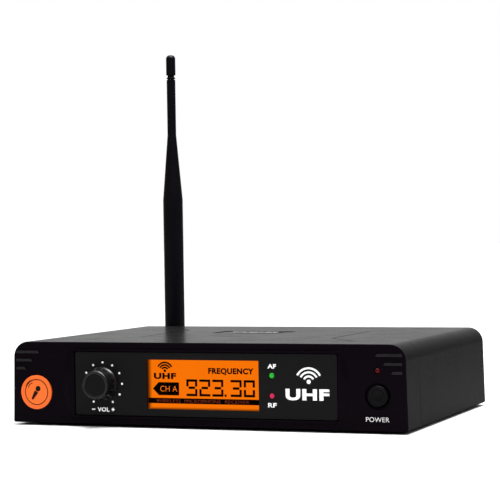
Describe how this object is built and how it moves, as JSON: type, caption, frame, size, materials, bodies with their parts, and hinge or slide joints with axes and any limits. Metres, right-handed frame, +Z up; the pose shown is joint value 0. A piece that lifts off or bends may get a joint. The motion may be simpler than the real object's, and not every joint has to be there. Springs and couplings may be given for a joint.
{
  "type": "wireless microphone receiver",
  "caption": "Low half-width audio receiver box with a glossy front, lit display, volume knob, power button, rear sockets and a folding rod antenna.",
  "frame": {"origin": "middle of the overall footprint, on the surface that the rubber feet stand on", "axes": "+Z up, +Y from the front controls to the rear sockets, +X to the right as seen from the front"},
  "size_m": [0.212, 0.1818, 0.2048],
  "materials": {
    "case_plastic": "satin moulded plastic with a fine grain",
    "fascia_gloss": "glossy black plastic",
    "panel_matte": "matte black printed panel",
    "badge_orange": "glossy orange badge",
    "plaque_plastic": "satin moulded plastic",
    "rubber_black": "matte rubber",
    "antenna_rubber": "satin rubber sleeve",
    "tray_metal": "black powder coat",
    "rear_metal": "black powder coat with a fine texture",
    "screw_steel": "black zinc-plated steel",
    "window_clear": "clear polished window",
    "lcd_glass": "liquid crystal cell",
    "light_guide": "clear acrylic lit orange",
    "frame_white": "white moulded plastic",
    "board_green": "glass-fibre board with a green solder mask",
    "knob_black": "satin black plastic",
    "metal_nickel": "nickel plating",
    "metal_brass": "gold-plated brass",
    "aluminium_black": "black anodised aluminium",
    "shaft_metal": "turned shaft",
    "button_black": "satin black plastic",
    "inner_plastic": "moulded component plastic",
    "connector_white": "nylon connector",
    "ribbon_grey": "flexible cable sheath",
    "led_red": "lit red lens",
    "led_green": "lit green lens",
    "led_pink": "lit red lens",
    "chrome_plain": "bright plating",
    "capacitor_sleeve": "dark printed sleeve"
  },
  "bodies": {
    "root": {"top_cover": "case_plastic", "top_plaque": "plaque_plastic", "bottom_tray": "tray_metal", "front_bezel": "case_plastic", "front_fascia": "fascia_gloss", "display_panel": "panel_matte", "front_badge": "badge_orange", "rear_panel": "rear_metal", "rubber_feet": "rubber_black", "case_screws": "screw_steel", "board_screws": "screw_steel", "rear_panel_screws": "screw_steel", "xlr_screws": "screw_steel", "front_board_screws": "screw_steel", "lcd_window": "window_clear", "lcd_glass": "lcd_glass", "backlight_guide": "light_guide", "lcd_frame": "frame_white", "front_board": "board_green", "potentiometer_body": "inner_plastic", "potentiometer_washer": "metal_nickel", "potentiometer_nut": "metal_nickel", "power_switch_body": "inner_plastic", "power_led": "led_red", "af_led": "led_green", "rf_led": "led_pink", "main_board": "board_green", "rf_shield_can": "chrome_plain", "filter_capacitors": "capacitor_sleeve", "voltage_regulator": "inner_plastic", "regulator_heatsink": "aluminium_black", "audio_chips": "inner_plastic", "crystal_oscillator": "chrome_plain", "board_connectors": "connector_white", "ribbon_cable": "ribbon_grey", "antenna_coax": "inner_plastic", "xlr_shell": "metal_nickel", "xlr_insert": "inner_plastic", "xlr_pins": "metal_brass", "jack_socket_body": "inner_plastic", "jack_washer": "metal_nickel", "jack_nut": "metal_nickel", "dc_inlet": "inner_plastic", "dc_pin": "metal_nickel", "squelch_trimmer_body": "inner_plastic", "antenna_jack": "metal_brass", "antenna_jack_nut": "metal_nickel"},
    "knob": {"volume_knob": "knob_black", "potentiometer_shaft": "shaft_metal"},
    "button": {"power_button": "button_black", "power_switch_plunger": "connector_white"},
    "squelch": {"squelch_rotor": "connector_white"},
    "antenna_base": {"antenna_coupling_nut": "metal_nickel", "antenna_elbow": "inner_plastic", "antenna_hinge_pin": "chrome_plain"},
    "antenna_rod": {"antenna_whip": "antenna_rubber", "antenna_tip_cap": "antenna_rubber"}
  },
  "joints": [
    {"name": "volume_turn", "type": "hinge", "parent": "root", "child": "knob", "pos_m": [-0.0541, -0.08095, 0.0221], "axis": [0, 1, 0], "range_deg": [-150, 150]},
    {"name": "power_press", "type": "slide", "parent": "root", "child": "button", "axis": [0, 1, 0], "range_m": [0, 0.002], "stiffness_N_per_m": 400, "springref_m": -0.0005},
    {"name": "squelch_turn", "type": "hinge", "parent": "root", "child": "squelch", "pos_m": [-0.034, 0.06985, 0.0142], "axis": [0, 1, 0], "range_deg": [-135, 135]},
    {"name": "antenna_swivel", "type": "hinge", "parent": "root", "child": "antenna_base", "pos_m": [-0.0876, 0.07105, 0.0222], "axis": [0, 1, 0], "range_deg": [-90, 90]},
    {"name": "antenna_tilt", "type": "hinge", "parent": "antenna_base", "child": "antenna_rod", "pos_m": [-0.0876, 0.08505, 0.0222], "axis": [-1, 0, 0], "range_deg": [0, 90]}
  ]
}
